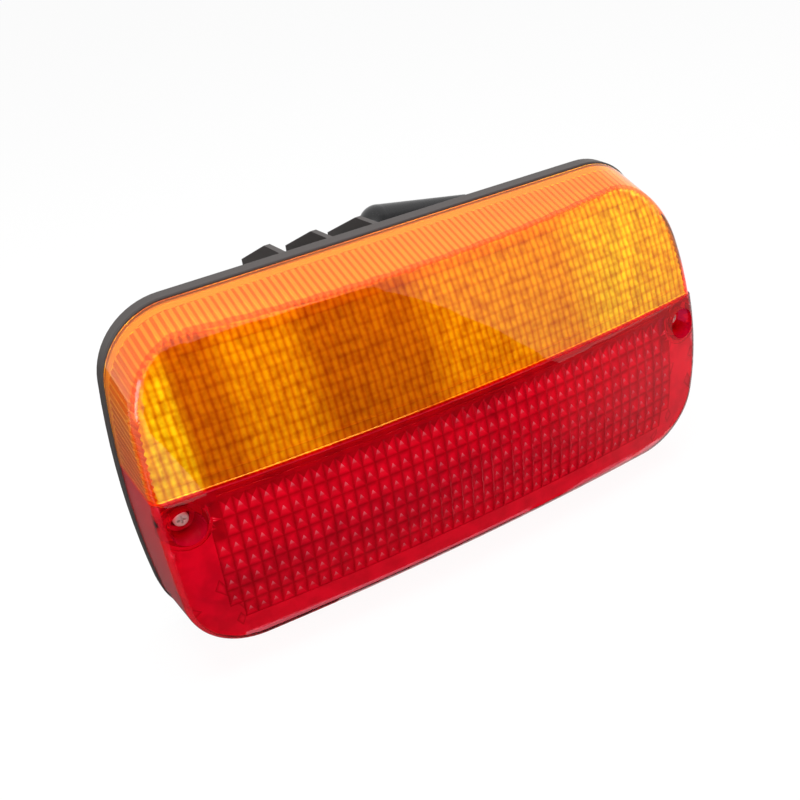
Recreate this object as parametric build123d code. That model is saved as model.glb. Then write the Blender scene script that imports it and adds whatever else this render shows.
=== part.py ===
from build123d import *
import math
import os

os.makedirs("parts", exist_ok=True)

# X runs along the lamp, Z is up, the lens faces -Y, the origin is the middle of the rear mounting face
# A lift is a distance in front of the mounting face, counted towards the lens

# Lens outline, depth and walls
lens_w = 240.0
lens_h = 133.6
lens_corner_r = 27.2
end_bow = 6.2
crest_depth = 44.5
crest_z = -21.3
dome_r = 154.0
lens_bow = 7.2
lens_wall = 2.6
lens_face_t = 3.0
top_draft_deg = 20.5
low_draft_deg = 16.2
end_draft_deg = 0.7
shoulder_r = 5.0
parting_z = 11.6
red_step = 1.0

# Housing: flange, plate, tub and gussets
tub_depth = 44.8
flange_t = 6.6
flange_over = 0.6
flange_edge_r = 0.8
rim_w = 9.0
plate_t = 3.0
tub_front_w = 124.0
tub_front_h = 108.0
tub_rear_w = 112.0
tub_rear_h = 88.0
tub_corner_r = 14.0
tub_wall = 2.5
rear_wall_t = 3.0
gusset_t = 2.4
gusset_pitch = 19.6
gusset_top_x = -2.4
gusset_top_count = 3
gusset_low_count = 5
gusset_top_z = 66.4
gusset_knee_lift = 28.0
gusset_knee_z = 65.0
gusset_slope_lift = 15.0
gusset_slope_z = 58.6
gusset_tail_z = 51.2

# Seal between lens and housing
seam_gap = 0.4
tongue_in = 0.8
tongue_t = 1.6
tongue_len = 2.6
groove_clear = 0.3
gasket_t = 1.4

# Amber optics: the flutes of the skirt and the cells of the face share one pitch
flute_pitch = 2.71
flute_depth = 0.7
flute_start = 2.6
cell_h = 3.8
cell_rise = 0.75
cell_margin = 4.0
cell_band = 3.6
optic_seat = 0.15
optic_bite = 0.5

# Red optics: pyramid prisms, border ridges and two ribs under the parting line
prism_w = 4.81
prism_h = 7.18
prism_rise = 1.7
prism_cols = 43
prism_rows = 7
prism_band = 4.85
prism_margin = 8.6
ridge_w = 0.9
ridge_rise = 0.9
ridge_inset = 6.2
ridge_step = 2.7
ridge_count = 2
ridge_top_z = -10.0
rib_drop = 1.6
rib_count = 2
rib_len = 196.0

# Lens screws and their wells
well_x = 110.5
well_z = 1.8
well_r = 6.3
well_flare_deg = 8.0
well_depth = 8.0
well_wall = 1.6
well_floor_t = 2.4
fence_r = 9.4
screw_r = 1.45
screw_head_r = 2.8
screw_head_h = 2.0
screw_len = 20.0
hole_clear = 0.25
thread_clear = 0.05
cross_w = 0.8
cross_l = 3.4
cross_d = 1.2
pillar_r = 4.0

# Reflector tray and its screws
tray_t = 1.6
tray_clear = 0.5
tray_wall_h = 7.0
tray_flare_deg = 8.0
divider_clear = 2.0
well_clear = 1.0
dish_r = 17.8
dish_floor_r = 13.8
dish_depth = 11.0
tray_screw_x = 92.0
tray_screw_z = 33.0
tray_screw_len = 7.0
tray_boss_r = 4.0
tray_boss_h = 8.0

# Bulbs
bulb_x = 33.0
indicator_z = 30.7
tail_z = -19.6
cap_r = 7.5
cap_len = 17.0
cap_lift = 27.0
pin_r = 1.0
pin_reach = 8.7
pin_up = 7.0
tip_r = 1.9
tip_h = 1.5
tip_spread = 3.2
glass_r = 12.5
neck_r = 6.6
neck_len = 4.0
glass_t = 0.7
wire_r = 0.35
coil_r = 0.8
coil_len = 5.6
coil_up = 15.0
coil_gap = 4.0

# Bulb holders
shell_clear = 0.25
shell_t = 0.8
shell_lift = 19.0
shell_len = 23.0
collar_r = 12.6
collar_t = 1.0
slot_clear = 0.3
slot_turn = 3.0
disc_t = 1.6
leaf_t = 0.5
leaf_w = 3.0
leaf_over = 1.0
post_out = 5.4
blade_w = 4.8
blade_len = 8.0
rivet_r = 1.0
rivet_head_r = 1.6
rivet_head_h = 0.8
rivet_out = 10.4

# Fixing studs in the rear wall
stud_spacing = 80.0
stud_r = 3.0
stud_len = 18.0
stud_tip = 0.8
stud_neck_w = 6.4
stud_head_r = 6.0
stud_head_h = 3.0
stud_boss_r = 9.0
stud_boss_h = 8.0

# Cable boot on the top wall of the tub
boot_x = 13.5
boot_lift = 15.0
boot_r = 8.2
boot_up = 6.2
boot_run = 43.0
boot_end_r = 3.7
boot_end_up = 3.7
boot_bore_r = 2.6
boot_neck_r = 6.0
boot_lip_r = 8.0
boot_lip_t = 2.0
boot_fit = 0.05

# Lifts and the barrel of the domed face, which follow from the sizes above
flange_front = tub_depth + flange_t
plate_front = tub_depth + plate_t
skirt_foot = flange_front + seam_gap
tongue_foot = flange_front - tongue_len
groove_floor = tongue_foot - gasket_t
groove_in = tongue_in - groove_clear
groove_w = tongue_t + 2 * groove_clear
barrel_r = ((lens_w / 2) ** 2 + lens_bow ** 2) / (2 * lens_bow)
barrel_y = barrel_r - (flange_front + crest_depth)
border_rise = crest_depth - lens_bow
overcut = 1.0
lens_top = flange_front + crest_depth + red_step + overcut
top_slope = math.tan(math.radians(top_draft_deg))
low_slope = math.tan(math.radians(low_draft_deg))
end_slope = math.tan(math.radians(end_draft_deg))
dish_low = plate_front - dish_depth
dish_high = dish_low + tray_t
cap_top = cap_lift + cap_len
shell_in_r = cap_r + shell_clear
shell_out_r = shell_in_r + shell_t
wall_slope = (tub_front_h - tub_rear_h) / 2 / tub_depth
wall_deg = math.degrees(math.atan(wall_slope))


def slab(sketch, low, high, taper=0.0):
    """Prism on an outline in X and Z, from one lift to a higher one."""
    return extrude(Plane.XZ.offset(low) * sketch, high - low, taper=taper)


def skin_r(z, grow):
    """Distance of the domed skin from the upright axis of its barrel, grown outwards by a distance."""
    return barrel_r - dome_r + math.sqrt((dome_r + grow) ** 2 - (z - crest_z) ** 2)


def domed(grow):
    """Barrel whose skin runs parallel to the domed lens face, grown outwards by a distance."""
    low = (skin_r(-lens_h / 2, grow), -lens_h / 2)
    high = (skin_r(lens_h / 2, grow), lens_h / 2)
    skin = ThreePointArc(low, (skin_r(crest_z, grow), crest_z), high)
    rest = Polyline(high, (0, lens_h / 2), (0, -lens_h / 2), low)
    flat = make_face([skin, *rest.edges()])
    return Pos(0, barrel_y, 0) * revolve(Plane.XZ * flat, Axis.Z)


def face_lift(x, z, grow):
    """Lift of the domed skin at a place on the face."""
    return math.sqrt(skin_r(z, grow) ** 2 - x ** 2) - barrel_y


def half_space(upper):
    """Block that fills one side of the parting line."""
    shift = parting_z + lens_h / 2 if upper else parting_z - lens_h / 2
    return slab(Pos(0, shift) * Rectangle(2 * lens_w, lens_h), 0, lens_top)


def outline(inset, rise=0.0):
    """Lens outline with bowed ends, drawn in by an inset and, up the skirt, by its draft."""
    top = lens_h / 2 - inset - rise * top_slope
    low = inset + rise * low_slope - lens_h / 2
    end = lens_w / 2 - inset - rise * end_slope
    nook = end - end_bow * ((top - low) / lens_h) ** 2
    middle = (top + low) / 2
    right = ThreePointArc((nook, low), (end, middle), (nook, top))
    left = ThreePointArc((-nook, top), (-end, middle), (-nook, low))
    face = make_face([right, Line((nook, top), (-nook, top)), left, Line((-nook, low), (nook, low))])
    return fillet(face.vertices(), lens_corner_r - inset)


def inside_face(x, z, margin):
    """True where a spot on the face lies inside its rounded border by at least the margin."""
    rise = face_lift(x, z, 0) - flange_front
    top = lens_h / 2 - rise * top_slope
    low = rise * low_slope - lens_h / 2
    end = lens_w / 2 - rise * end_slope - end_bow * (2 * z / lens_h) ** 2
    dx = max(abs(x) - (end - lens_corner_r), 0.0)
    dz = max(z - (top - lens_corner_r), low + lens_corner_r - z, 0.0)
    return math.hypot(dx, dz) <= lens_corner_r - margin


def skirt(inset, low, high):
    """Drafted block inside the skirt of the lens, between two lifts, drawn in by an inset."""
    return loft([Plane.XZ.offset(lift) * outline(inset, lift - flange_front) for lift in (low, high)])


def lens_body(grow):
    """Outer body of the lens: drafted skirt, domed face and rounded shoulder."""
    body = skirt(0, skirt_foot, lens_top) & domed(grow)
    front = body.faces().sort_by(Axis.Y)[0]
    return fillet(front.edges(), shoulder_r)


def tongue():
    """Ring under the skirt that stands in the groove of the housing."""
    return slab(outline(tongue_in) - outline(tongue_in + tongue_t), tongue_foot, skirt_foot + overcut)


def fluted_outline(rise):
    """Inside outline of the amber skirt, one flute to a pitch, closed below the parting line."""
    ring = outline(lens_wall).wire()
    count = 2 * round(ring.length / flute_pitch)
    spots = [ring.position_at(step / count) for step in range(count)]
    spots = [spot for spot in spots if spot.Y > parting_z - 2 * flute_pitch]
    spots.sort(key=lambda spot: math.atan2(spot.Y, spot.X))
    last = len(spots) - 1
    narrow = 1 - rise * end_slope / (lens_w / 2 - lens_wall)
    squash = 1 - rise * top_slope / (lens_h / 2 - lens_wall)
    points = []
    for k, spot in enumerate(spots):
        ahead = (spots[min(k + 1, last)] - spots[max(k - 1, 0)]).normalized()
        crest = flute_depth * (k % 2)
        points.append(((spot.X - ahead.Y * crest) * narrow, (spot.Y + ahead.X * crest) * squash))
    return make_face(Polyline(*points, close=True))


def optic_field(cells, wide, tall, base_z, rise, grow):
    """Field of pyramids on the inside of a domed face; a cell is a column and a row of the grid."""
    seat = grow - optic_seat
    root = grow + optic_bite

    def spot(corner, level):
        angle = corner[0] * wide / barrel_r
        z = base_z + corner[1] * tall
        reach = skin_r(z, level)
        return Vector(reach * math.sin(angle), barrel_y - reach * math.cos(angle), z)

    def patch(corners):
        return Face(Wire.make_polygon(corners, close=True))

    faces = []
    for col, row in cells:
        left, right, low, high = col - 0.5, col + 0.5, row - 0.5, row + 0.5
        ring = [(left, low), (right, low), (right, high), (left, high)]
        beside = [(col, row - 1), (col + 1, row), (col, row + 1), (col - 1, row)]
        apex = spot((col, row), seat - rise)
        faces.append(patch([spot(corner, root) for corner in ring]))
        for k in range(len(ring)):
            a = ring[k]
            b = ring[k - len(ring) + 1]
            faces.append(patch([spot(a, seat), spot(b, seat), apex]))
            if beside[k] not in cells:
                faces.append(patch([spot(a, root), spot(b, root), spot(b, seat), spot(a, seat)]))
    return Solid(Shell(faces))


def grid_cells(cols, rows, wide, tall, base_z, margin):
    """Cells of a grid centred on the lamp whose outer corners keep the margin from the lens outline."""
    cells = set()
    for step in range(cols):
        col = step - (cols - 1) / 2
        for row in range(rows):
            x = (abs(col) + 0.5) * wide
            low = base_z + (row - 0.5) * tall
            if inside_face(x, low, margin) and inside_face(x, low + tall, margin):
                cells.add((col, row))
    return cells


def turned(points, x, z):
    """Body of revolution about an axis square to the lens, from (radius, lift) points."""
    flat = make_face(Polyline(*[(radius, -lift) for radius, lift in points], close=True))
    return Pos(x, 0, z) * revolve(flat, Axis.Y)


def screw(x, z, seat, length):
    """Crosshead screw with its head on a seat and its shank behind it."""
    spot = Pos(x, z)
    top = seat + screw_head_h
    body = slab(spot * Circle(screw_head_r), seat, top) + slab(spot * Circle(screw_r), seat - length, seat)
    rim = body.edges().filter_by(GeomType.CIRCLE).sort_by(Axis.Y)[0]
    body = fillet(rim, screw_head_h / 2)
    cross = Rectangle(cross_l, cross_w) + Rectangle(cross_w, cross_l)
    return body - slab(spot * cross, top - cross_d, top + overcut)


def tub(inset, low):
    """Drafted tub from a lift up to the flange, drawn in by an inset."""
    share = low / tub_depth
    low_w = tub_rear_w + (tub_front_w - tub_rear_w) * share - 2 * inset
    low_h = tub_rear_h + (tub_front_h - tub_rear_h) * share - 2 * inset
    low_end = RectangleRounded(low_w, low_h, tub_corner_r - inset)
    high_end = RectangleRounded(tub_front_w - 2 * inset, tub_front_h - 2 * inset, tub_corner_r - inset)
    return loft([Plane.XZ.offset(low) * low_end, Plane.XZ.offset(tub_depth) * high_end])


def gusset(x, side):
    """Plate that stiffens the flange against the tub, above it or below it."""
    root = tub_rear_h / 2 - tub_wall
    corners = [(tub_depth + overcut, root), (tub_depth + overcut, gusset_top_z)]
    corners += [(gusset_knee_lift, gusset_knee_z), (gusset_slope_lift, gusset_slope_z)]
    corners += [(0, gusset_tail_z), (0, root)]
    flat = make_face(Polyline(*[(-lift, side * z) for lift, z in corners], close=True))
    return Pos(x, 0, 0) * extrude(Plane.YZ * flat, gusset_t / 2, both=True)


def export(name, shape):
    """Write one piece to its own file."""
    shape.label = name
    export_step(shape, f"parts/{name}.step")


# Housing: flange with the seal groove, plate, drafted tub, gussets and bosses in one moulding
flange = slab(outline(-flange_over), tub_depth, flange_front)
flange = fillet(flange.edges().group_by(Axis.Y)[0] + flange.edges().group_by(Axis.Y)[-1], flange_edge_r)
flange -= slab(outline(rim_w), plate_front, flange_front + overcut)
flange -= slab(outline(groove_in) - outline(groove_in + groove_w), groove_floor, flange_front + overcut)
housing = flange + tub(0, 0)
for step in range(gusset_top_count):
    housing += gusset(gusset_top_x - step * gusset_pitch, 1)
for step in range(gusset_low_count):
    housing += gusset((step - (gusset_low_count - 1) / 2) * gusset_pitch, -1)
housing -= tub(tub_wall, rear_wall_t)
mouth = RectangleRounded(tub_front_w - 2 * tub_wall, tub_front_h - 2 * tub_wall, tub_corner_r - tub_wall)
housing -= slab(mouth, tub_depth - overcut, plate_front + overcut)
well_floor = face_lift(well_x, well_z, red_step) - well_depth
pillar_top = well_floor - well_floor_t
tray_top = plate_front + tray_t
for side in (-1, 1):
    spot = Pos(side * well_x, well_z)
    housing += slab(spot * Circle(pillar_r), plate_front - overcut, pillar_top)
    housing -= slab(spot * Circle(screw_r + thread_clear), well_floor - screw_len - overcut, lens_top)
    housing += slab(Pos(side * stud_spacing / 2, 0) * Circle(stud_boss_r), 0, stud_boss_h)
    for level in (-1, 1):
        boss = Pos(side * tray_screw_x, level * tray_screw_z)
        housing += slab(boss * Circle(tray_boss_r), plate_front - tray_boss_h, plate_front)
        pilot = boss * Circle(screw_r + thread_clear)
        housing -= slab(pilot, tray_top - tray_screw_len - overcut, lens_top)

# Fixing studs with a square neck in the rear wall, moulded in with their heads inside its bosses
studs = []
for side in (-1, 1):
    spot = Pos(side * stud_spacing / 2, 0)
    stud = slab(spot * Circle(stud_r), -stud_len, 0)
    stud += slab(spot * Rectangle(stud_neck_w, stud_neck_w), 0, rear_wall_t)
    stud += slab(spot * RegularPolygon(stud_head_r, 6), rear_wall_t, rear_wall_t + stud_head_h)
    housing -= stud
    tip = stud.edges().filter_by(GeomType.CIRCLE).sort_by(Axis.Y)[-1]
    studs.append(chamfer(tip, stud_tip))
mounting_studs = Compound(studs)

# Cable boot: rubber bulb plugged into the top wall, with a sleeve that tapers along the lamp
boot_wall_z = tub_rear_h / 2 + wall_slope * boot_lift
boot_frame = Pos(boot_x, -boot_lift, boot_wall_z) * Rot(-wall_deg, 0, 0)
wall_through = tub_wall * math.cos(math.radians(wall_deg))
boot_dip_deg = math.degrees(math.atan2(boot_up - boot_end_up, boot_run))
from_low = (Align.CENTER, Align.CENTER, Align.MIN)
from_high = (Align.CENTER, Align.CENTER, Align.MAX)
along = Pos(0, 0, boot_up) * Rot(0, 90 + boot_dip_deg, 0)
boot = along * Cone(boot_r, boot_end_r, boot_run, align=from_low) + Pos(0, 0, boot_up) * Sphere(boot_r)
boot -= Box(2 * (boot_run + boot_r), 2 * (boot_r + overcut), boot_r, align=from_high)
boot += Cylinder(boot_neck_r, wall_through, align=from_high)
boot += Pos(0, 0, -wall_through) * Cylinder(boot_lip_r, boot_lip_t, align=from_high)
boot -= along * Cylinder(boot_bore_r, 2 * boot_run, align=from_low)
boot -= Pos(0, 0, boot_up) * Cylinder(boot_bore_r, 2 * boot_r + boot_up, align=from_high)
cable_boot = boot_frame * boot
housing -= boot_frame * Cylinder(boot_neck_r + boot_fit, 2 * boot_neck_r)

# Seal ring on the floor of the groove
ring_in = groove_in + groove_clear / 2
lens_gasket = slab(outline(ring_in) - outline(ring_in + groove_w - groove_clear), groove_floor, tongue_foot)

# Amber half of the lens: fluted skirt and a face of small square cells
flute_foot = skirt_foot + flute_start
flutes = [Plane.XZ.offset(lift) * fluted_outline(lift - flange_front) for lift in (flute_foot, lens_top)]
cavity = loft(flutes, ruled=True) & domed(-lens_face_t)
cavity += slab(outline(lens_wall), groove_floor, skirt_foot) + skirt(lens_wall, skirt_foot, flute_foot)
lens_amber = (lens_body(0) + tongue() - cavity) & half_space(True)
cell_low = parting_z + cell_band + cell_h / 2
cell_rows = int((lens_h / 2 - cell_margin - parting_z - cell_band) // cell_h)
cell_cols = int(lens_w // flute_pitch)
amber_cells = grid_cells(cell_cols, cell_rows, flute_pitch, cell_h, cell_low, cell_margin)
lens_amber += optic_field(amber_cells, flute_pitch, cell_h, cell_low, cell_rise, -lens_face_t)

# Red half of the lens: pyramid prisms, border ridges and ribs, and the wells of the lens screws
red_body = lens_body(red_step)
red_inside = red_step - lens_face_t
cavity = skirt(lens_wall, skirt_foot, lens_top) & domed(red_inside)
lens_red = red_body + tongue() - cavity - slab(outline(lens_wall), groove_floor, skirt_foot)
band = domed(red_inside + optic_bite) - domed(red_inside - ridge_rise)
relief = Sketch()
for k in range(ridge_count):
    inset = ridge_inset + k * ridge_step
    relief += outline(inset, border_rise) - outline(inset + ridge_w, border_rise)
relief -= Pos(0, ridge_top_z + lens_h) * Rectangle(2 * lens_w, 2 * lens_h)
for k in range(rib_count):
    relief += Pos(0, parting_z - (k + 1) * rib_drop) * Rectangle(rib_len, ridge_w)
for side in (-1, 1):
    fence = Pos(side * well_x, well_z) * (Circle(fence_r) - Circle(fence_r - ridge_w))
    relief += fence & outline(lens_wall, border_rise)
lens_red += slab(relief, flange_front, lens_top) & band
for side in (-1, 1):
    spot = Pos(side * well_x, well_z)
    lens_red += slab(spot * Circle(well_r + well_wall), pillar_top, lens_top) & red_body
    floor_r = well_r - well_depth * math.tan(math.radians(well_flare_deg))
    lens_red -= slab(spot * Circle(floor_r), well_floor, lens_top, -well_flare_deg)
    lens_red -= slab(spot * Circle(screw_r + hole_clear), pillar_top - overcut, lens_top)
lens_red = lens_red & half_space(False)
prism_low = parting_z - prism_band - (prism_rows - 0.5) * prism_h
red_cells = grid_cells(prism_cols, prism_rows, prism_w, prism_h, prism_low, prism_margin)
lens_red += optic_field(red_cells, prism_w, prism_h, prism_low, prism_rise, red_inside)

# Lens screws at the bottom of the wells
lens_screws = Compound([screw(side * well_x, well_z, well_floor, screw_len) for side in (-1, 1)])

# Reflector: bright tray with a flared wall, a divider on the parting line and a dish for each bulb
tray_in = rim_w + tray_clear
reflector = slab(outline(tray_in), plate_front, tray_top)
tray_wall = slab(outline(tray_in), flange_front, flange_front + tray_wall_h, -tray_flare_deg)
tray_wall -= slab(outline(tray_in + tray_t), flange_front, flange_front + tray_wall_h, -tray_flare_deg)
tray_wall += slab(outline(tray_in) - outline(tray_in + tray_t), plate_front, flange_front)
divider = slab(Pos(0, parting_z) * Rectangle(lens_w - 2 * tray_in, tray_t), plate_front, lens_top)
reflector += tray_wall + (divider & domed(-lens_face_t - divider_clear))
hole_r = shell_out_r + hole_clear
dish = [(hole_r, dish_low), (dish_floor_r, dish_low), (dish_r, plate_front), (dish_r, tray_top)]
dish += [(dish_r - tray_t, tray_top), (dish_floor_r - tray_t, dish_high), (hole_r, dish_high)]
bulb_spots = [(-bulb_x, indicator_z), (bulb_x, tail_z)]
for x, z in bulb_spots:
    reflector -= slab(Pos(x, z) * Circle(dish_r - tray_t / 2), plate_front - overcut, tray_top + overcut)
    reflector += turned(dish, x, z)
    for side in (-1, 1):
        rivet_hole = Pos(x, z + side * rivet_out) * Circle(rivet_r + thread_clear)
        reflector -= slab(rivet_hole, dish_low - overcut, dish_high + overcut)
for side in (-1, 1):
    pocket = Pos(side * well_x, well_z) * Circle(well_r + well_wall + well_clear)
    reflector -= slab(pocket, plate_front - overcut, lens_top)
    for level in (-1, 1):
        hole = Pos(side * tray_screw_x, level * tray_screw_z) * Circle(screw_r + hole_clear)
        reflector -= slab(hole, plate_front - overcut, tray_top + overcut)

# Tray screws at the four corners of the tray
tray_screws = []
for side in (-1, 1):
    for level in (-1, 1):
        tray_screws.append(screw(side * tray_screw_x, level * tray_screw_z, tray_top, tray_screw_len))
reflector_screws = Compound(tray_screws)


def socket(x, z):
    """Bayonet shell with a collar under the dish and a bent slot for each pin of the bulb."""
    spot = Pos(x, z)
    shell = slab(spot * Circle(shell_out_r), shell_lift, shell_lift + shell_len)
    shell += slab(spot * Circle(collar_r), dish_low - collar_t, dish_low)
    shell -= slab(spot * Circle(shell_in_r), shell_lift - overcut, shell_lift + shell_len + overcut)
    slot_w = 2 * (pin_r + slot_clear)
    slot_cut = 2 * (shell_t + overcut)
    slot_floor = cap_lift + pin_up - slot_w / 2
    for side in (-1, 1):
        at = x + side * shell_out_r
        slot = Pos(at, z) * Rectangle(slot_cut, slot_w)
        shell -= slab(slot, slot_floor, shell_lift + shell_len + overcut)
        leg = Pos(at, z + side * slot_turn / 2) * Rectangle(slot_cut, slot_turn + slot_w)
        shell -= slab(leg, slot_floor, dish_low - collar_t)
        shell -= slab(Pos(x, z + side * rivet_out) * Circle(rivet_r + thread_clear), 0, lens_top)
    return shell


def insulator(x, z, posts):
    """Insulating disc that closes the holder, with a slit for each contact."""
    disc = slab(Pos(x, z) * Circle(shell_out_r), shell_lift - disc_t, shell_lift)
    for post in posts:
        slit = Rectangle(leaf_t + 2 * thread_clear, leaf_w + 2 * thread_clear)
        disc -= slab(Pos(x + post, z) * slit, shell_lift - disc_t - overcut, shell_lift + overcut)
    return disc


def contact(x, z, post, tip):
    """Spring contact: blade behind the disc, post through it and a leaf under the tip of the bulb."""
    tip_end = cap_lift - tip_h
    disc_back = shell_lift - disc_t
    body = slab(Pos(x + post, z) * Rectangle(leaf_t, leaf_w), disc_back, tip_end)
    body += slab(Pos(x + post, z) * Rectangle(leaf_t, blade_w), disc_back - blade_len, disc_back)
    inner = tip - math.copysign(leaf_over, post)
    outer = post + math.copysign(leaf_t / 2, post)
    leaf = Pos(x + (inner + outer) / 2, z) * Rectangle(abs(outer - inner), leaf_w)
    return body + slab(leaf, tip_end - leaf_t, tip_end)


def bulb_cap(x, z, tips):
    """Brass cap with two bayonet pins and its solder tips."""
    cap = slab(Pos(x, z) * Circle(cap_r), cap_lift, cap_top)
    pin = Pos(x, -cap_lift - pin_up, z) * Rot(0, 90, 0) * Cylinder(pin_r, 2 * pin_reach)
    cap += pin
    for tip in tips:
        cap += slab(Pos(x + tip, z) * Circle(tip_r), cap_lift - tip_h, cap_lift)
    return cap


def bulb_glass(x, z):
    """Round glass envelope on a short neck."""
    ball_lift = cap_top + neck_len + math.sqrt(glass_r ** 2 - neck_r ** 2)
    ball = Pos(x, -ball_lift, z)
    outer = ball * Sphere(glass_r) + slab(Pos(x, z) * Circle(neck_r), cap_top, ball_lift)
    inner = slab(Pos(x, z) * Circle(neck_r - glass_t), cap_top - overcut, ball_lift)
    return outer - ball * Sphere(glass_r - glass_t) - inner


def bulb_filament(x, z):
    """Coiled filament between its two support wires."""
    lift = cap_top + coil_up
    coil = Pos(x, -lift, z) * Rot(0, 90, 0) * Cylinder(coil_r, coil_len)
    for side in (-1, 1):
        coil += slab(Pos(x + side * (coil_len / 2 - wire_r), z) * Circle(wire_r), cap_top, lift)
    return coil


# Indicator bulb in its holder, behind the amber lens
x, z = bulb_spots[0]
indicator_socket = socket(x, z)
indicator_insulator = insulator(x, z, [post_out])
indicator_contact = contact(x, z, post_out, 0.0)
indicator_bulb_cap = bulb_cap(x, z, [0.0])
indicator_bulb_glass = bulb_glass(x, z)
indicator_bulb_filament = bulb_filament(x, z)

# Stop and tail bulb in its holder, behind the red lens, with two tips and two filaments
x, z = bulb_spots[1]
tail_socket = socket(x, z)
tail_insulator = insulator(x, z, [-post_out, post_out])
tail_contacts = Compound([contact(x, z, side * post_out, side * tip_spread) for side in (-1, 1)])
tail_bulb_cap = bulb_cap(x, z, [-tip_spread, tip_spread])
tail_bulb_glass = bulb_glass(x, z)
tail_bulb_filament = Compound([bulb_filament(x, z + side * coil_gap / 2) for side in (-1, 1)])

# Rivets through the holder collars and the floors of the dishes
rivets = []
for x, z in bulb_spots:
    for side in (-1, 1):
        spot = Pos(x, z + side * rivet_out)
        back = dish_low - collar_t
        rivet = slab(spot * Circle(rivet_head_r), back - rivet_head_h, back)
        rivet += slab(spot * Circle(rivet_r), back, dish_high)
        rivets.append(rivet + slab(spot * Circle(rivet_head_r), dish_high, dish_high + rivet_head_h))
socket_rivets = Compound(rivets)

export("housing", housing)
export("mounting_studs", mounting_studs)
export("cable_boot", cable_boot)
export("lens_gasket", lens_gasket)
export("reflector", reflector)
export("reflector_screws", reflector_screws)
export("socket_rivets", socket_rivets)
export("indicator_socket", indicator_socket)
export("indicator_insulator", indicator_insulator)
export("indicator_contact", indicator_contact)
export("indicator_bulb_cap", indicator_bulb_cap)
export("indicator_bulb_glass", indicator_bulb_glass)
export("indicator_bulb_filament", indicator_bulb_filament)
export("tail_socket", tail_socket)
export("tail_insulator", tail_insulator)
export("tail_contacts", tail_contacts)
export("tail_bulb_cap", tail_bulb_cap)
export("tail_bulb_glass", tail_bulb_glass)
export("tail_bulb_filament", tail_bulb_filament)
export("lens_amber", lens_amber)
export("lens_red", lens_red)
export("lens_screws", lens_screws)
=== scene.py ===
import math

import bpy
from mathutils import Matrix, Vector


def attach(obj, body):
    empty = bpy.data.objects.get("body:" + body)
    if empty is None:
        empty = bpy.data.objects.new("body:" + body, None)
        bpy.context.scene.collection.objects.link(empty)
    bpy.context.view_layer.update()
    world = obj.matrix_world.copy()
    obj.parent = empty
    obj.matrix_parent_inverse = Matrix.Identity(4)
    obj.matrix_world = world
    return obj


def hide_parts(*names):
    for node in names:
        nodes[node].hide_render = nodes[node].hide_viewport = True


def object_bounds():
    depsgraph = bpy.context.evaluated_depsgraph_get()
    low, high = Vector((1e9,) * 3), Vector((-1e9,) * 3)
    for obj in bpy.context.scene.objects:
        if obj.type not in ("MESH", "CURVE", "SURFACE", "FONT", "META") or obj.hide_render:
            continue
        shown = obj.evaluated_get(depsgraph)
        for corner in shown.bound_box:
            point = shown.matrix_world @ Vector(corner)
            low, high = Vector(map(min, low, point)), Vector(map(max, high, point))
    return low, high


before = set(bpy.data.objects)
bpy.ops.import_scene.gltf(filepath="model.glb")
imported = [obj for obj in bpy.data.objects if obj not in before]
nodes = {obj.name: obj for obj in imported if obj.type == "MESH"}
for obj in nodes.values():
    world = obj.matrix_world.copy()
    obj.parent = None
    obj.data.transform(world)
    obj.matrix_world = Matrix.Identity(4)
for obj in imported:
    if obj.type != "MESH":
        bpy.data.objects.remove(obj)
cad_low, cad_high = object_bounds()
bpy.ops.object.select_all(action="DESELECT")

# Housing: one black polypropylene moulding with flange, plate, drafted tub and gussets.
# The tool surface is finely spark eroded, so the plastic is matt and its edges catch a soft grey light.
MM = 0.001


def linear(code):
    """Linear colour of an sRGB hex code."""
    parts = [int(code[at:at + 2], 16) / 255 for at in (1, 3, 5)]
    return (*[p / 12.92 if p <= 0.04045 else ((p + 0.055) / 1.055) ** 2.4 for p in parts], 1.0)


def add(material, kind, settings, links):
    """Add a node to a material, with its settings by name and its inputs linked to other nodes' outputs."""
    tree = material.node_tree
    made = tree.nodes.new(kind)
    for name, value in settings.items():
        if isinstance(name, str) and hasattr(made, name):
            setattr(made, name, value)
        else:
            made.inputs[name].default_value = value
    for name, output in links.items():
        tree.links.new(output, made.inputs[name])
    return made


def start(name, settings):
    """New material with its principled shader set; gives the material, the shader and object coordinates."""
    material = bpy.data.materials.new(name)
    material.use_nodes = True
    shader = material.node_tree.nodes["Principled BSDF"]
    for key, value in settings.items():
        shader.inputs[key].default_value = value
    place = add(material, "ShaderNodeTexCoord", {}, {}).outputs["Object"]
    return material, shader, place


def grain(material, shader, place, grain_mm, height_mm, detail=2.0):
    """Fine relief on a surface from noise of a real grain size; gives the noise for other uses."""
    settings = {"Scale": 1 / (grain_mm * MM), "Detail": detail}
    noise = add(material, "ShaderNodeTexNoise", settings, {"Vector": place})
    bump = add(material, "ShaderNodeBump", {"Distance": height_mm * MM}, {"Height": noise.outputs["Fac"]})
    material.node_tree.links.new(bump.outputs["Normal"], shader.inputs["Normal"])
    return noise.outputs["Fac"]


def spread(material, factor, shader, socket, low, high):
    """Let a pattern move one number of a shader between two values."""
    band = add(material, "ShaderNodeMapRange", {"To Min": low, "To Max": high}, {"Value": factor})
    material.node_tree.links.new(band.outputs["Result"], shader.inputs[socket])


def shade(material, factor, shader, first, second):
    """Let a pattern move the colour of a shader between two hex colours."""
    ramp = add(material, "ShaderNodeValToRGB", {}, {"Fac": factor})
    ramp.color_ramp.elements[0].color = linear(first)
    ramp.color_ramp.elements[1].color = linear(second)
    material.node_tree.links.new(ramp.outputs["Color"], shader.inputs["Base Color"])


def dress(name, material):
    """Give a CAD piece its finish."""
    piece = nodes[name]
    piece.data.materials.clear()
    piece.data.materials.append(material)


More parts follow.
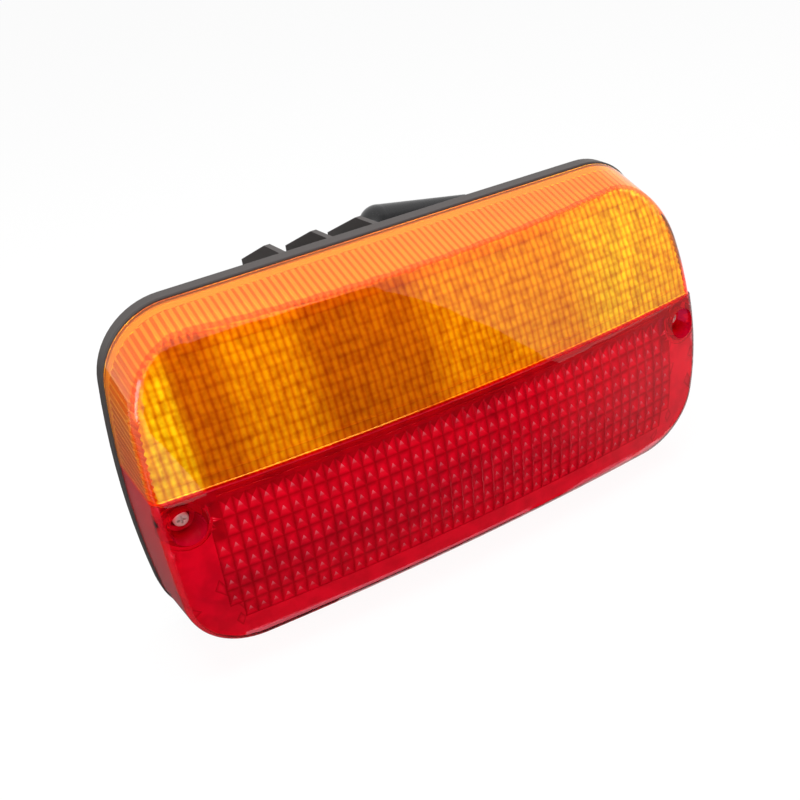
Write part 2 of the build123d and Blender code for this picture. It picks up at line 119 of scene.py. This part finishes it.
black_plastic, shader, place = start("black_polypropylene_spark_grain", {"IOR": 1.49})
relief = grain(black_plastic, shader, place, 0.35, 0.03)
shade(black_plastic, relief, shader, "#2E2928", "#3E3836")
spread(black_plastic, relief, shader, "Roughness", 0.42, 0.6)
dress("housing", black_plastic)

# Fixing studs: two M6 steel studs with a square neck, moulded into the rear wall.
# They are zinc plated, which leaves a bright, faintly cloudy silver.
zinc_steel, shader, place = start("zinc_plated_steel", {"Metallic": 1.0})
relief = grain(zinc_steel, shader, place, 0.6, 0.006)
shade(zinc_steel, relief, shader, "#B9BABC", "#DADBDB")
spread(zinc_steel, relief, shader, "Roughness", 0.2, 0.36)
dress("mounting_studs", zinc_steel)

# Cable boot: soft black rubber bulb with a tapered sleeve, plugged into the top wall of the tub.
# Moulded in a polished tool, so it is darker and glossier than the housing.
boot_rubber, shader, place = start("black_rubber_smooth", {"IOR": 1.52})
relief = grain(boot_rubber, shader, place, 1.4, 0.02)
shade(boot_rubber, relief, shader, "#0B0B0C", "#131214")
spread(boot_rubber, relief, shader, "Roughness", 0.22, 0.34)
dress("cable_boot", boot_rubber)

# Seal: flat ring of soft rubber on the floor of the flange groove, squeezed by the tongue of the lens.
# It was cut from sheet, so it is matt all over.
seal_rubber, shader, place = start("seal_rubber_matt", {"IOR": 1.5})
relief = grain(seal_rubber, shader, place, 0.5, 0.03)
shade(seal_rubber, relief, shader, "#161617", "#202022")
spread(seal_rubber, relief, shader, "Roughness", 0.7, 0.85)
dress("lens_gasket", seal_rubber)

# Reflector: thin moulded tray with two dishes and a divider, vacuum coated with aluminium and lacquered.
# The coat is bright but follows the faint ripple of the moulding.
bright_tray, shader, place = start("aluminised_plastic", {"Metallic": 1.0})
relief = grain(bright_tray, shader, place, 6.0, 0.05)
shade(bright_tray, relief, shader, "#D9D9D6", "#F0F0EC")
spread(bright_tray, relief, shader, "Roughness", 0.14, 0.22)
dress("reflector", bright_tray)

# Tray screws: four small crosshead screws of the same zinc plated steel as the studs.
# They hold the tray to the bosses of the housing.
dress("reflector_screws", zinc_steel)

# Bulb holders: shells drawn from tinned steel strip, closed at the back by a disc of brown laminate.
# Spring brass contacts pass through the disc and press on the tips of the bulb.
tinned_steel, shader, place = start("tinned_steel_strip", {"Metallic": 1.0})
relief = grain(tinned_steel, shader, place, 0.8, 0.008)
shade(tinned_steel, relief, shader, "#A9A9A5", "#C6C6C1")
spread(tinned_steel, relief, shader, "Roughness", 0.25, 0.4)
brown_laminate, shader, place = start("brown_paper_laminate", {"IOR": 1.55})
relief = grain(brown_laminate, shader, place, 0.5, 0.02)
shade(brown_laminate, relief, shader, "#5C3A22", "#7A4E2E")
spread(brown_laminate, relief, shader, "Roughness", 0.4, 0.6)
contact_brass, shader, place = start("spring_brass_strip", {"Metallic": 1.0})
relief = grain(contact_brass, shader, place, 0.6, 0.006)
shade(contact_brass, relief, shader, "#B98F4B", "#CDA562")
spread(contact_brass, relief, shader, "Roughness", 0.25, 0.4)
for bulb, contacts in (("indicator", "indicator_contact"), ("tail", "tail_contacts")):
    dress(bulb + "_socket", tinned_steel)
    dress(bulb + "_insulator", brown_laminate)
    dress(contacts, contact_brass)

# Rivets: four of soft aluminium, two to a bulb holder.
# They pass through the tray and are headed over the collars of the holders.
rivet_aluminium, shader, place = start("rivet_aluminium", {"Metallic": 1.0})
relief = grain(rivet_aluminium, shader, place, 0.4, 0.01)
shade(rivet_aluminium, relief, shader, "#BFC0C2", "#D5D6D8")
spread(rivet_aluminium, relief, shader, "Roughness", 0.3, 0.45)
dress("socket_rivets", rivet_aluminium)

# Bulbs: drawn brass cap with two pins, clear blown glass and a coiled tungsten filament.
# The indicator bulb has one filament and the stop and tail bulb has two.
cap_brass, shader, place = start("drawn_brass_cap", {"Metallic": 1.0})
relief = grain(cap_brass, shader, place, 0.7, 0.006)
shade(cap_brass, relief, shader, "#C2A468", "#D6BB83")
spread(cap_brass, relief, shader, "Roughness", 0.22, 0.38)
bulb_glass, shader, place = start("clear_bulb_glass", {"Transmission Weight": 1.0, "IOR": 1.5})
shader.inputs["Base Color"].default_value = linear("#FBFDFD")
relief = grain(bulb_glass, shader, place, 5.0, 0.01)
spread(bulb_glass, relief, shader, "Roughness", 0.0, 0.02)
filament_wire, shader, place = start("tungsten_wire", {"Metallic": 1.0})
relief = grain(filament_wire, shader, place, 0.2, 0.01)
shade(filament_wire, relief, shader, "#6B6B6E", "#8A8A8D")
spread(filament_wire, relief, shader, "Roughness", 0.35, 0.5)
for bulb in ("indicator", "tail"):
    dress(bulb + "_bulb_cap", cap_brass)
    dress(bulb + "_bulb_glass", bulb_glass)
    dress(bulb + "_bulb_filament", filament_wire)

# Amber half of the lens: the upper shot of an acrylic moulding in two colours, set in the flange groove.
# The outside is polished; flutes and cells are moulded on the inside and show by refraction, and light and
# shade on them are also painted into their colour.
# The dye fills the plastic with colour, and lamps shine through it onto the tray.
lens_half_w = 120 * MM
lens_half_h = 66.8 * MM
face_half_w = 116 * MM
face_half_h = 52 * MM
face_back = -80 * MM
cell_w = 2.71 * MM
cell_h = 3.8 * MM
# One band of the wave pattern is this long at scale 1
wave_length = math.pi / 10
merge_gap = 0.001 * MM
smooth_angle = math.radians(62)
rim_power = 7
# Limits that tell the kinds of faces apart, as shares of their normals
faces_back = 0.42
stands_up = 0.3
faces_front = 0.8
flute_turn = 0.15
outside, optics, shoulder, flutes, flute_sides = range(5)


def on_face(spot):
    """True for what stands on the back of the lens face, away from the skirt."""
    return abs(spot.x) < face_half_w and abs(spot.z) < face_half_h and spot.y < face_back


def sideways(face):
    """How much a face of the skirt turns along the rim: above zero on one side of each flute."""
    out_x = (face.center.x / lens_half_w) ** rim_power / lens_half_w
    out_z = (face.center.z / lens_half_h) ** rim_power / lens_half_h
    return (face.normal.z * out_x - face.normal.x * out_z) / math.hypot(out_x, out_z)


def polished(name, face_looks):
    """Merged copy of a lens half in its place, smooth in its curves, with a material for each kind of face,
    some of them carrying painted light and shade.
    """
    piece = bpy.data.objects.new(name + "_moulding", nodes[name].data.copy())
    bpy.context.scene.collection.objects.link(piece)
    bpy.ops.object.select_all(action="DESELECT")
    piece.select_set(True)
    bpy.context.view_layer.objects.active = piece
    bpy.ops.object.mode_set(mode="EDIT")
    bpy.ops.mesh.select_all(action="SELECT")
    bpy.ops.mesh.remove_doubles(threshold=merge_gap)
    bpy.ops.object.mode_set(mode="OBJECT")
    bpy.ops.mesh.customdata_custom_splitnormals_clear()
    bpy.ops.object.shade_smooth_by_angle(angle=smooth_angle)
    weighted = piece.modifiers.new("even_shading", "WEIGHTED_NORMAL")
    weighted.keep_sharp = True
    bpy.ops.object.modifier_apply(modifier=weighted.name)
    piece.data.materials.clear()
    for face_look in face_looks:
        piece.data.materials.append(face_look)
    for face in piece.data.polygons:
        back = face.normal.y
        towards_middle = face.center.x * face.normal.x + face.center.z * face.normal.z < 0
        if back > faces_back or (abs(back) < stands_up and on_face(face.center)):
            face.material_index = optics
        elif towards_middle and back > -stands_up:
            face.material_index = flute_sides if sideways(face) > flute_turn else flutes
        elif -faces_front < back < -faces_back:
            face.material_index = shoulder
        else:
            face.material_index = outside
    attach(piece, "root")
    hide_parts(name)
    return piece


def acrylic(name, clear, tint, rough, gleam):
    """Dyed acrylic; the share that is clear refracts, the rest scatters, and lamps shine through it."""
    material, shader, place = start(name, {"Transmission Weight": clear, "IOR": 1.49})
    shader.inputs["Specular Tint"].default_value = linear(gleam)
    shader.inputs["Base Color"].default_value = linear(tint)
    relief = grain(material, shader, place, 14.0, 0.01, 0.0)
    spread(material, relief, shader, "Roughness", rough, rough + 0.02)
    tree = material.node_tree
    paths = add(material, "ShaderNodeLightPath", {}, {}).outputs
    film = add(material, "ShaderNodeBsdfTransparent", {"Color": linear(tint)}, {})
    links = {0: paths["Is Shadow Ray"], 1: shader.outputs[0], 2: film.outputs[0]}
    mixed = add(material, "ShaderNodeMixShader", {}, links)
    tree.links.new(mixed.outputs[0], tree.nodes["Material Output"].inputs["Surface"])
    return material, shader, place


def ramp_of(material, factor, marks):
    """Colour ramp through hex colours at given places."""
    ramp = add(material, "ShaderNodeValToRGB", {}, {"Fac": factor})
    while len(ramp.color_ramp.elements) < len(marks):
        ramp.color_ramp.elements.new(0.5)
    for element, (position, colour) in zip(ramp.color_ramp.elements, marks):
        element.position = position
        element.color = linear(colour)
    return ramp.outputs["Color"]


def along_lamp(material, place):
    """Place along the lamp, from 0 at the left end of the lens to 1 at its right end."""
    across = add(material, "ShaderNodeSeparateXYZ", {}, {"Vector": place}).outputs["X"]
    ends = {"From Min": -lens_half_w, "From Max": lens_half_w}
    return add(material, "ShaderNodeMapRange", ends, {"Value": across}).outputs["Result"]


def layered(material, shader, layers):
    """Base colour from colour layers laid over each other."""
    colour = layers[0]
    for layer in layers[1:]:
        settings = {"data_type": "RGBA", "blend_type": "MULTIPLY", 0: 1.0}
        colour = add(material, "ShaderNodeMix", settings, {6: colour, 7: layer}).outputs[2]
    material.node_tree.links.new(colour, shader.inputs["Base Color"])


amber_optics_painted_light, shader, place = acrylic("amber_acrylic_optics_painted_light", 0.4, "#FFAA20", 0.1, "#FFA020")
# Painted light in the cells: bright vertical streaks down each column and darker lines between the rows, for
# the light and shade of lit pillow cells.
wave = {"bands_direction": "X", "Scale": wave_length / cell_w, "Distortion": 1.0, "Detail": 1.0}
painted_column_streaks = add(amber_optics_painted_light, "ShaderNodeTexWave", wave, {"Vector": place}).outputs["Fac"]
wave = {"bands_direction": "Z", "Scale": wave_length / cell_h, "Distortion": 0.4, "Detail": 1.0}
painted_row_shade = add(amber_optics_painted_light, "ShaderNodeTexWave", wave, {"Vector": place}).outputs["Fac"]
noise = {"Scale": 1 / (3.4 * MM), "Detail": 2.0}
patches = add(amber_optics_painted_light, "ShaderNodeTexNoise", noise, {"Vector": place}).outputs["Fac"]
# Painted light and shade along the lamp: bright zones for the lit reflector seen through the lens, dark zones
# for the shaded inside, warmer ones between.
bright = "#FFFFB0"
dark = "#C88448"
middling = "#EABC60"
warm = "#F4C468"
painted_light_zones = [(-120, bright), (-103, bright), (-99, dark), (-86, dark), (-79, middling), (-58, middling),
         (-49, dark), (-12, dark), (0, warm), (56, warm), (72, bright), (112, bright)]
painted_light_marks = [(0.5 + x * MM / (2 * lens_half_w), colour) for x, colour in painted_light_zones]
layers = [ramp_of(amber_optics_painted_light, painted_column_streaks, [(0.0, "#E6AE48"), (0.4, "#FFDC50"), (0.9, "#FFF870")])]
layers.append(ramp_of(amber_optics_painted_light, painted_row_shade, [(0.0, "#F0DECC"), (0.35, "#FFFFFF")]))
layers.append(ramp_of(amber_optics_painted_light, patches, [(0.3, "#D8BAA4"), (0.62, "#FFFFFF")]))
layers.append(ramp_of(amber_optics_painted_light, along_lamp(amber_optics_painted_light, place), painted_light_marks))
layered(amber_optics_painted_light, shader, layers)
amber_outside = acrylic("amber_acrylic_polished", 1.0, "#FFE25C", 0.01, "#FFFFFF")[0]
# Painted shade on the rounded shoulder: a deeper orange copy of the acrylic, for the deeper colour the curve
# shows as light passes through it.
amber_shoulder_painted_shade = acrylic("amber_acrylic_shoulder_painted_shade", 0.9, "#FF7C30", 0.01, "#FFFFFF")[0]
# Painted light and shade on the skirt flutes: a lighter, lit copy of the acrylic on one flank of each flute
# and a darker, shaded copy on the other.
amber_flutes_painted_lit = acrylic("amber_acrylic_flutes_painted_lit", 0.4, "#F0965E", 0.1, "#FFA050")[0]
amber_flute_sides_painted_shade = acrylic("amber_acrylic_flute_side_painted_shade", 0.4, "#CC6428", 0.1, "#FFA050")[0]
amber_looks = [amber_outside, amber_optics_painted_light, amber_shoulder_painted_shade, amber_flutes_painted_lit, amber_flute_sides_painted_shade]
amber_lens = polished("lens_amber", amber_looks)

# Red half of the lens: the lower shot of the same moulding, with the two wells of the lens screws.
# Its face is filled from behind with pyramid prisms, with a glint painted at the tips of their lower facets
# and painted shade at their rims and on steep faces.
# The plain band and the ribs under the parting line carry painted shade, so they are darker than the prisms.
crest_z = -21.3 * MM
dome_r = 154 * MM
band_z = 5.5 * MM
prism_reach = 5 * MM
facet_lean = 0.4
lower_lean = -0.2
plain_level = 0.3
painted_shade_level = 0.1
painted_tip_light_level = 0.45
painted_glint_level = 1.0


def slope(face):
    """How much a face turns down or up from the dome of the lens."""
    return face.normal.z + (face.center.z - crest_z) / dome_r


def paint_prism_glints(piece):
    """Corner attribute of painted light on the prisms: a painted glint at the apex of lower facets, less
    painted light at other apexes, painted shade at rims, on steep faces and on the band under the parting
    line.
    """
    mesh = piece.data
    around = {}
    levels = [plain_level] * len(mesh.loops)
    for face in mesh.polygons:
        if face.material_index == optics:
            for corner in face.vertices:
                around.setdefault(corner, []).append(face)
        if abs(slope(face)) + abs(face.normal.x) > facet_lean:
            for loop in face.loop_indices:
                levels[loop] = painted_shade_level
    for tip, facets in around.items():
        ring = {corner for face in facets for corner in face.vertices} - {tip}
        if len(facets) != 4 or len(ring) != 4:
            continue
        if max((mesh.vertices[corner].co - mesh.vertices[tip].co).length for corner in ring) > prism_reach:
            continue
        for face in facets:
            top = painted_glint_level if slope(face) < lower_lean else painted_tip_light_level
            for loop, corner in zip(face.loop_indices, face.vertices):
                levels[loop] = top if corner == tip else painted_shade_level
    # Painted shade on the plain band and ribs under the parting line.
    for face in mesh.polygons:
        if face.center.z > band_z and face.material_index in (optics, flutes):
            for loop in face.loop_indices:
                levels[loop] = painted_shade_level
    mesh.attributes.new("painted_prism_glint", "FLOAT", "CORNER").data.foreach_set("value", levels)


# The red optics colour follows the painted glint attribute: dark red painted shade at rims, pink painted
# glints at the tips of lower facets.
red_optics_painted_light, shader, place = acrylic("red_acrylic_optics_painted_light", 0.4, "#E80A26", 0.1, "#FF2040")
tips = add(red_optics_painted_light, "ShaderNodeAttribute", {"attribute_name": "painted_prism_glint"}, {}).outputs["Fac"]
noise = {"Scale": 1 / (7 * MM), "Detail": 3.0}
patches = add(red_optics_painted_light, "ShaderNodeTexNoise", noise, {"Vector": place}).outputs["Fac"]
painted_glint_marks = [(0.08, "#B40426"), (0.3, "#FF1450"), (0.6, "#FF4060"), (0.85, "#FFE4E8")]
layers = [ramp_of(red_optics_painted_light, tips, painted_glint_marks)]
layers.append(ramp_of(red_optics_painted_light, patches, [(0.35, "#E0E0E0"), (0.6, "#FFFFFF")]))
# Painted light and shade along the lamp: the red optics are darker towards the left end and lighter towards
# the right.
layers.append(ramp_of(red_optics_painted_light, along_lamp(red_optics_painted_light, place), [(0.45, "#ECECEC"), (0.8, "#FFFFFF")]))
layered(red_optics_painted_light, shader, layers)
red_outside = acrylic("red_acrylic_polished", 1.0, "#FF90A0", 0.01, "#FFFFFF")[0]
# Painted shade on the rounded shoulder: a deeper red copy of the acrylic than the polished outside.
red_shoulder_painted_shade = acrylic("red_acrylic_shoulder_painted_shade", 0.8, "#F03048", 0.01, "#FFFFFF")[0]
red_skirt = acrylic("red_acrylic_skirt", 0.4, "#D00822", 0.1, "#FF2040")[0]
red_lens = polished("lens_red", [red_outside, red_optics_painted_light, red_shoulder_painted_shade, red_skirt, red_skirt])
paint_prism_glints(red_lens)

# Lens screws: two small crosshead screws at the bottom of the wells, driven into pillars of the housing.
# Their zinc plating is brighter and milkier than that of the tray screws.
bright_zinc, shader, place = start("bright_zinc_screw", {"Metallic": 0.4})
relief = grain(bright_zinc, shader, place, 0.4, 0.006)
shade(bright_zinc, relief, shader, "#D6D4CE", "#F2F0EA")
spread(bright_zinc, relief, shader, "Roughness", 0.3, 0.45)
dress("lens_screws", bright_zinc)

# Stage: a plain white table under the lamp.
# Most of it glows, so that it stays white to the eye, and the rest is paint, which keeps a soft shadow.
table_size = 8.0
table_gap = 0.5 * MM
glow_share = 0.94


def seen(owner):
    """Is 1 for what the eye, a mirror or clear plastic sees, and 0 for light that falls on things."""
    paths = add(owner, "ShaderNodeLightPath", {}, {}).outputs
    larger = {"operation": "MAXIMUM"}
    eye = add(owner, "ShaderNodeMath", larger, {0: paths["Is Camera Ray"], 1: paths["Is Glossy Ray"]})
    eye = add(owner, "ShaderNodeMath", larger, {0: eye.outputs[0], 1: paths["Is Transmission Ray"]})
    return eye.outputs[0]


white_table = bpy.data.materials.new("white_table")
white_table.use_nodes = True
white_table.node_tree.nodes.clear()
veil = add(white_table, "ShaderNodeMath", {"operation": "MULTIPLY", 1: glow_share}, {0: seen(white_table)})
paint = add(white_table, "ShaderNodeBsdfDiffuse", {"Color": linear("#FFFFFF")}, {})
glow = add(white_table, "ShaderNodeEmission", {"Color": (1, 1, 1, 1), "Strength": 1.0}, {})
links = {0: veil.outputs[0], 1: paint.outputs[0], 2: glow.outputs[0]}
mixed = add(white_table, "ShaderNodeMixShader", {}, links)
add(white_table, "ShaderNodeOutputMaterial", {}, {"Surface": mixed.outputs[0]})
bpy.ops.mesh.primitive_plane_add(size=table_size, location=(0, 0, cad_low.z - table_gap))
table = bpy.context.object
table.name = "table"
bpy.ops.object.transform_apply(location=True)
table.data.materials.append(white_table)

# Cards: flat sheets close to the lamp, out of the picture, which only the polished surfaces mirror.
# Black ones stand and lie in front and leave the right of the face and a patch at the left to the white room.
# A grey one softens the right, and one on the table darkens what the left end mirrors.
card_y = -155
grey_y = -160
table_z = cad_low.z / MM
table_front = -96


def set_card(name, corners, fade, tones=(0.01, 0.8)):
    """Flat card from its corners in millimetres, seen only by mirrors, that fades between two tones."""
    mesh = bpy.data.meshes.new(name)
    mesh.from_pydata([Vector(corner) * MM for corner in corners], [], [range(len(corners))])
    card = bpy.data.objects.new(name, mesh)
    bpy.context.scene.collection.objects.link(card)
    paper = bpy.data.materials.new(name)
    paper.use_nodes = True
    paper.node_tree.nodes.clear()
    place = add(paper, "ShaderNodeTexCoord", {}, {}).outputs["Object"]
    across = add(paper, "ShaderNodeSeparateXYZ", {}, {"Vector": place}).outputs["X"]
    limits = {"From Min": fade[0] * MM, "From Max": fade[1] * MM, "To Min": tones[0], "To Max": tones[1]}
    level = add(paper, "ShaderNodeMapRange", limits, {"Value": across})
    glow = add(paper, "ShaderNodeEmission", {}, {"Strength": level.outputs["Result"]})
    add(paper, "ShaderNodeOutputMaterial", {}, {"Surface": glow.outputs[0]})
    mesh.materials.append(paper)
    card.visible_camera = False
    card.visible_diffuse = False
    card.visible_transmission = False
    card.visible_shadow = False


edge = [(-400, -5), (90, -5), (86, -1), (35, 81), (10, 120), (-125, 120), (-115, 55), (-100, 0), (-400, 0)]
set_card("upright_card", [(x, card_y, z) for x, z in edge], (400, 500))
edge = [(-400, -66), (400, -66), (400, -5), (-400, -5)]
set_card("low_card", [(x, card_y, z) for x, z in edge], (70, 330))
edge = [(0, -5), (500, -5), (500, 400), (0, 400)]
set_card("grey_card", [(x, grey_y, z) for x, z in edge], (0, 500), (0.6, 0.6))
edge = [(-400, -400), (400, -400), (400, table_front), (-400, table_front)]
set_card("table_card", [(x, y, table_z) for x, y in edge], (70, 330))
edge = [(-1500, table_front), (-60, table_front), (-60, 1500), (-1500, 1500)]
set_card("side_card", [(x, y, table_z + 1) for x, y in edge], (-500, -60), (0.1, 0.1))

# World: an even white room.
# It is white to the eye, in mirrors and through clear plastic, and softer as a light.
room_light = 0.35
world = bpy.data.worlds.new("white_room")
bpy.context.scene.world = world
world.use_nodes = True
level = add(world, "ShaderNodeMapRange", {"To Min": room_light, "To Max": 1.0}, {"Value": seen(world)})
room = world.node_tree.nodes["Background"]
room.inputs["Color"].default_value = (1, 1, 1, 1)
world.node_tree.links.new(level.outputs["Result"], room.inputs["Strength"])

# Studio light: a large softbox overhead and a smaller one from the left.
# The large one is kept out of mirrors, so that it leaves no bright patch on the lens.
lamp_middle = (0, -0.05, 0)


def softbox(name, spot, width, height, watts):
    """Rectangular area light at a spot, turned to the middle of the lamp."""
    lamp = bpy.data.lights.new(name, "AREA")
    lamp.shape = "RECTANGLE"
    lamp.size = width
    lamp.size_y = height
    lamp.energy = watts
    box = bpy.data.objects.new(name, lamp)
    box.location = spot
    box.rotation_euler = (Vector(lamp_middle) - Vector(spot)).to_track_quat("-Z", "Y").to_euler()
    bpy.context.scene.collection.objects.link(box)
    return box


overhead = softbox("overhead_softbox", (0.0, -0.15, 0.9), 0.7, 0.5, 10.5)
overhead.visible_glossy = False
softbox("left_softbox", (-0.7, -0.5, 0.5), 0.4, 0.4, 3.0)

# Camera: a 46 mm lens close to the lamp, from the upper left, held with a slight roll.
# Its place and turn were fitted to the outline of the lamp.
camera_spot = (-0.17200, -0.37433, 0.20255)
camera_data = bpy.data.cameras.new("camera")
camera_data.sensor_width = 36.0
camera_data.lens = 46.525
camera_data.clip_start = 0.01
camera = bpy.data.objects.new("camera", camera_data)
bpy.context.scene.collection.objects.link(camera)
heading = Matrix.Rotation(math.radians(-27.165), 4, "Z")
pitch = Matrix.Rotation(math.radians(90 - 29.905), 4, "X")
roll = Matrix.Rotation(math.radians(-7.319), 4, "Z")
camera.matrix_world = Matrix.Translation(camera_spot) @ heading @ pitch @ roll
bpy.context.scene.camera = camera
bpy.context.scene.view_settings.view_transform = "Standard"
